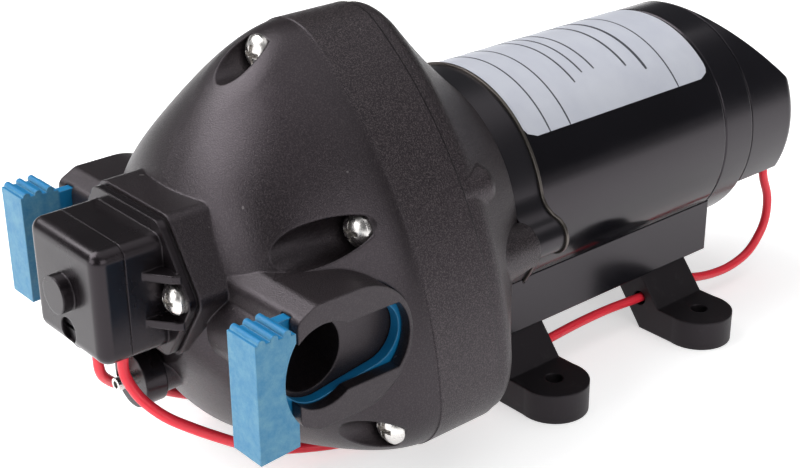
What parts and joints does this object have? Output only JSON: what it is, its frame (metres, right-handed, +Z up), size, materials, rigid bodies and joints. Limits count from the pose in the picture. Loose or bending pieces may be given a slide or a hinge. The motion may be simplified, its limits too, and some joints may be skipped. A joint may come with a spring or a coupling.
{
  "type": "diaphragm water pump",
  "caption": "Electric diaphragm water pump: round motor on rubber feet, three-cornered pump head, side ports with slide clips and a pressure switch on the nose.",
  "frame": {"origin": "on the floor, at the centre of the four foot holes", "axes": "+Y along the motor towards its rear cap, pressure switch at -Y, +Z up from the feet"},
  "size_m": [0.1038, 0.2174, 0.1025],
  "materials": {
    "head_plastic": "moulded, matte charcoal with a fine grain",
    "gloss_black": "gloss black coating",
    "bell_black": "black coating",
    "switch_plastic": "moulded, satin black",
    "foot_rubber": "matte black",
    "seal_rubber": "black",
    "diaphragm_rubber": "dark",
    "valve_rubber": "soft, reddish brown",
    "inner_plastic": "glass filled, off white",
    "clip_plastic": "sky blue, satin",
    "wire_red": "red insulation",
    "screw_steel": "bright nickel plating",
    "bearing_steel": "ground steel",
    "core_steel": "laminated steel",
    "spring_steel": "drawn steel wire",
    "winding_copper": "enamelled copper",
    "bearing_brass": "brass",
    "magnet_ferrite": "dark grey ferrite",
    "carbon": "pressed carbon"
  },
  "bodies": {
    "pump": {"brush_plate": "inner_plastic", "brush_springs": "spring_steel", "brushes": "carbon", "bypass_cap": "switch_plastic", "bypass_screw": "bearing_brass", "bypass_spring": "spring_steel", "diaphragm": "diaphragm_rubber", "drive_housing": "head_plastic", "ear_screws": "screw_steel", "field_magnets": "magnet_ferrite", "foot_front_left": "foot_rubber", "foot_front_right": "foot_rubber", "foot_rear_left": "foot_rubber", "foot_rear_right": "foot_rubber", "front_bearing": "bearing_steel", "housing_screws": "screw_steel", "inlet_valves": "valve_rubber", "microswitch": "inner_plastic", "motor_bracket": "gloss_black", "motor_can": "gloss_black", "motor_front_bell": "bell_black", "outlet_valve": "valve_rubber", "plate_seal": "seal_rubber", "pressure_adjuster": "bearing_brass", "pump_head": "head_plastic", "rear_bearing": "bearing_steel", "rear_cap": "gloss_black", "rear_end_bell": "gloss_black", "switch_body": "switch_plastic", "switch_cover": "switch_plastic", "switch_diaphragm": "seal_rubber", "switch_gasket": "seal_rubber", "switch_screws": "screw_steel", "switch_spring": "spring_steel", "through_bolts": "screw_steel", "valve_plate": "inner_plastic", "wire_left": "wire_red", "wire_right": "wire_red"},
    "rotor": {"motor_shaft": "bearing_steel", "armature_core": "core_steel", "armature_windings": "winding_copper", "commutator": "winding_copper", "tilted_cam": "bearing_steel", "wobble_bearing_inner": "bearing_steel"},
    "wobble": {"wobble_plate": "inner_plastic", "wobble_bearing_outer": "bearing_steel", "pistons": "inner_plastic", "piston_screws": "screw_steel"},
    "clip_right": {"clip_right": "clip_plastic"},
    "clip_left": {"clip_left": "clip_plastic"},
    "switch_plunger": {"switch_plunger": "inner_plastic"},
    "bypass_poppet": {"bypass_poppet": "inner_plastic"}
  },
  "joints": [
    {"name": "motor_spin", "type": "hinge", "parent": "pump", "child": "rotor", "pos_m": [0, -0.049, 0.0478], "axis": [0, 1, 0], "continuous": true, "deforming": ["diaphragm"]},
    {"name": "wobble_turn", "type": "hinge", "parent": "rotor", "child": "wobble", "pos_m": [0, -0.049, 0.0478], "axis": [0, 0.9969, 0.0785], "continuous": true},
    {"name": "clip_right_slide", "type": "slide", "parent": "pump", "child": "clip_right", "axis": [0, -1, 0], "range_m": [0, 0.01]},
    {"name": "clip_left_slide", "type": "slide", "parent": "pump", "child": "clip_left", "axis": [0, -1, 0], "range_m": [0, 0.01]},
    {"name": "switch_plunger_slide", "type": "slide", "parent": "pump", "child": "switch_plunger", "axis": [0, -1, 0], "range_m": [0, 0.0008], "stiffness_N_per_m": 1500, "springref_m": -0.001, "deforming": ["switch_spring"]},
    {"name": "bypass_poppet_slide", "type": "slide", "parent": "pump", "child": "bypass_poppet", "axis": [0, -1, 0], "range_m": [0, 0.0015], "stiffness_N_per_m": 2000, "springref_m": -0.003, "deforming": ["bypass_spring"]}
  ],
  "couplings": [
    {"joint": "wobble_turn", "follows": "motor_spin", "ratio": -1}
  ]
}
